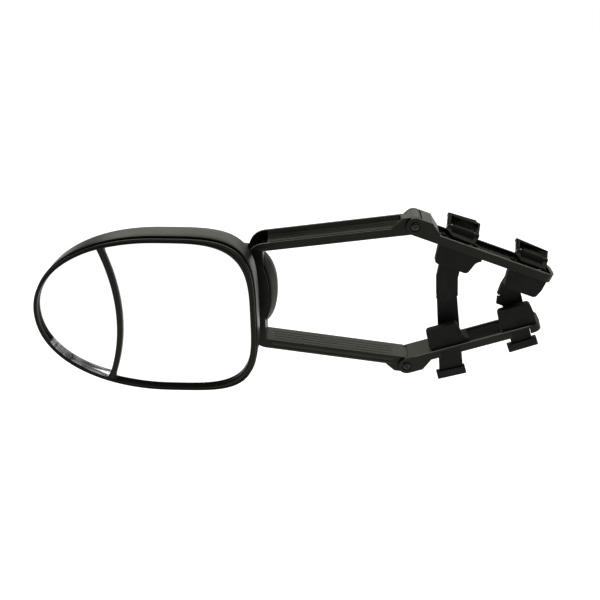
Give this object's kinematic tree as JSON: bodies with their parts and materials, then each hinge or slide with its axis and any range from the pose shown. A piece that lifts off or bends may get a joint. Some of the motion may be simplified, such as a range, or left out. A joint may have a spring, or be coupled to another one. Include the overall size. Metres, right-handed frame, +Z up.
{
  "type": "towing mirror",
  "caption": "Clip-on towing mirror: egg-shaped head with a convex spot glass on a ball joint, a U-shaped yoke, and swinging clamp rails with rubber hooks and buckled rubber straps.",
  "frame": {"origin": "centre of the clamped space, midway between the rubber hooks", "axes": "+X from the mirror head towards the clamp, along the arms; +Y away from the driver, from the glass to the back of the head; +Z up"},
  "size_m": [0.5173, 0.0925, 0.1968],
  "materials": {
    "black_plastic": "moulded, satin",
    "shell_plastic": "moulded, semi-gloss",
    "mirror_glass": "silvered glass",
    "foam_pad": "foam tape",
    "rubber": "matte",
    "strap_rubber": "matte",
    "nylon": "natural",
    "steel": "zinc plated",
    "dark_steel": "black oxide"
  },
  "bodies": {
    "yoke": {"yoke": "black_plastic", "socket_plate": "black_plastic", "socket_screws": "steel", "rear_cover": "black_plastic", "cover_screws": "dark_steel", "pivot_screws": "dark_steel", "pivot_nuts": "steel", "friction_washers": "nylon"},
    "front_cup": {"front_cup": "nylon"},
    "rear_cup": {"rear_cup": "nylon"},
    "head": {"head_shell": "shell_plastic", "bezel": "shell_plastic", "main_glass": "mirror_glass", "spot_glass": "mirror_glass", "main_backing": "foam_pad", "spot_backing": "foam_pad", "carrier_plate": "black_plastic", "carrier_screws": "steel", "ball_stud": "steel", "stud_screws": "steel"},
    "upper_rail": {"upper_rail": "black_plastic", "pad_upper_near": "rubber", "pad_upper_far": "rubber", "strap_near_tail": "strap_rubber", "strap_far_tail": "strap_rubber", "lever_pins": "steel"},
    "lever_near": {"lever_near": "black_plastic"},
    "lever_far": {"lever_far": "black_plastic"},
    "lower_rail": {"lower_rail": "black_plastic", "pad_lower_near": "rubber", "pad_lower_far": "rubber"},
    "strap_near": {"strap_near_end": "strap_rubber"},
    "strap_far": {"strap_far_end": "strap_rubber"}
  },
  "joints": [
    {"name": "head_pan", "type": "hinge", "parent": "yoke", "child": "front_cup", "pos_m": [-0.26163, 0.0015, 0.005], "axis": [0, 0, 1], "range_deg": [-12, 12]},
    {"name": "head_tilt", "type": "hinge", "parent": "front_cup", "child": "rear_cup", "pos_m": [-0.26163, 0.0015, 0.005], "axis": [1, 0, 0], "range_deg": [-12, 12]},
    {"name": "head_roll", "type": "hinge", "parent": "rear_cup", "child": "head", "pos_m": [-0.26163, 0.0015, 0.005], "axis": [0, 1, 0], "range_deg": [-15, 15]},
    {"name": "upper_rail_hinge", "type": "hinge", "parent": "yoke", "child": "upper_rail", "pos_m": [-0.08363, 0, 0.08], "axis": [0, -1, 0], "range_deg": [0, 35]},
    {"name": "lower_rail_hinge", "type": "hinge", "parent": "yoke", "child": "lower_rail", "pos_m": [-0.08363, 0, -0.08], "axis": [0, 1, 0], "range_deg": [0, 35]},
    {"name": "lever_near_hinge", "type": "hinge", "parent": "upper_rail", "child": "lever_near", "pos_m": [-0.03386, 0.0055, 0.06763], "axis": [-0.9397, 0, 0.342], "range_deg": [0, 30]},
    {"name": "lever_far_hinge", "type": "hinge", "parent": "upper_rail", "child": "lever_far", "pos_m": [0.03755, 0.0055, 0.04164], "axis": [-0.9397, 0, 0.342], "range_deg": [0, 30]},
    {"name": "strap_near_slide", "type": "slide", "parent": "lower_rail", "child": "strap_near", "axis": [-0.1253, 0, 0.9921], "range_m": [0, 0.026]},
    {"name": "strap_far_slide", "type": "slide", "parent": "lower_rail", "child": "strap_far", "axis": [-0.3099, 0, 0.9508], "range_m": [0, 0.016]}
  ]
}
